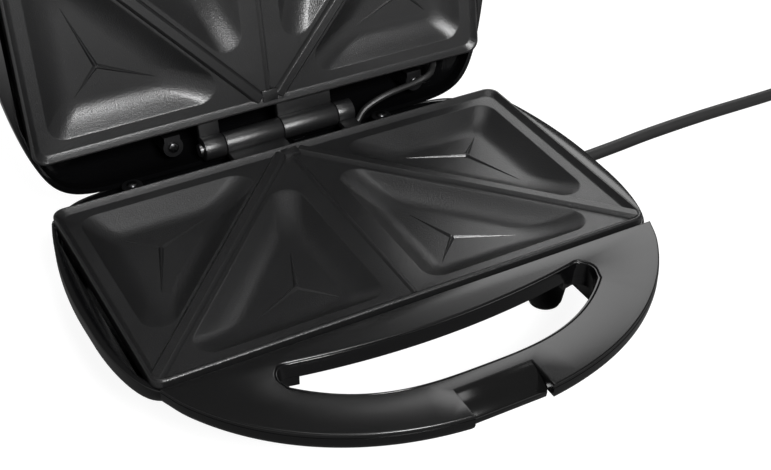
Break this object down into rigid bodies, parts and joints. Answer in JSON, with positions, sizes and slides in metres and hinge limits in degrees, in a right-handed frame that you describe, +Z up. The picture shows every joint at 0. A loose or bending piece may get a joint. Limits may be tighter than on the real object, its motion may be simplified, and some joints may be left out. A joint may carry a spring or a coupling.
{
  "type": "sandwich toaster",
  "caption": "Electric sandwich toaster with an open hinged lid, non-stick plates with triangular pockets, looped handles and a latch.",
  "frame": {"origin": "on the table, under the middle of the open toaster's box measured without its lead", "axes": "+X to the user's right along the hinge, +Y from the handle to the hinge, +Z up"},
  "size_m": [0.6132, 0.2683, 0.2786],
  "materials": {
    "gloss_black": "glossy black moulding",
    "satin_black": "satin, very fine straight grain",
    "matte_black": "matt black",
    "non_stick": "dark grey non-stick coat with a fine speckle",
    "element_tube": "dull heated steel",
    "shield_sheet": "dark coated sheet",
    "screw_steel": "blackened",
    "pad_rubber": "matt",
    "ceramic_cream": "matt heat resistant",
    "fuse_sleeve": "woven glass sleeve",
    "wire_cover": "shiny heat resistant cover",
    "lead_rubber": "satin black flex",
    "pin_metal": "bright plated",
    "lens": "clear tinted, one red and one green"
  },
  "bodies": {
    "lower": {"base_housing": "gloss_black", "base_trim": "satin_black", "latch_keeper": "matte_black", "base_plate": "non_stick", "base_element": "element_tube", "base_shield": "shield_sheet", "base_plate_screws": "screw_steel", "base_housing_screws": "screw_steel", "feet": "gloss_black", "foot_pads": "pad_rubber", "thermostat": "ceramic_cream", "thermal_fuse": "fuse_sleeve", "terminal_block": "ceramic_cream", "base_wires": "wire_cover", "earth_screw": "screw_steel", "cord_clamp": "matte_black", "strain_relief": "lead_rubber", "cord": "lead_rubber", "cord_coil": "lead_rubber", "plug_body": "lead_rubber", "plug_pins": "pin_metal", "hinge_pin": "pin_metal", "link_cable": "wire_cover"},
    "lid": {"lid_housing": "gloss_black", "lid_trim": "satin_black", "lid_plate": "non_stick", "lid_element": "element_tube", "lid_shield": "shield_sheet", "lid_plate_screws": "screw_steel", "lid_housing_screws": "screw_steel", "lid_wires": "wire_cover", "lamp_bodies": "ceramic_cream", "lamp_lenses": "lens", "latch_pin": "pin_metal"},
    "latch": {"latch": "gloss_black"}
  },
  "joints": [
    {"name": "lid_hinge", "type": "hinge", "parent": "lower", "child": "lid", "pos_m": [0, 0.0842, 0.051], "axis": [1, 0, 0], "range_deg": [0, 98.2], "deforming": ["link_cable"]},
    {"name": "latch_pivot", "type": "hinge", "parent": "lid", "child": "latch", "pos_m": [0, 0.11879, 0.2602], "axis": [1, 0, 0], "range_deg": [0, 35]}
  ]
}
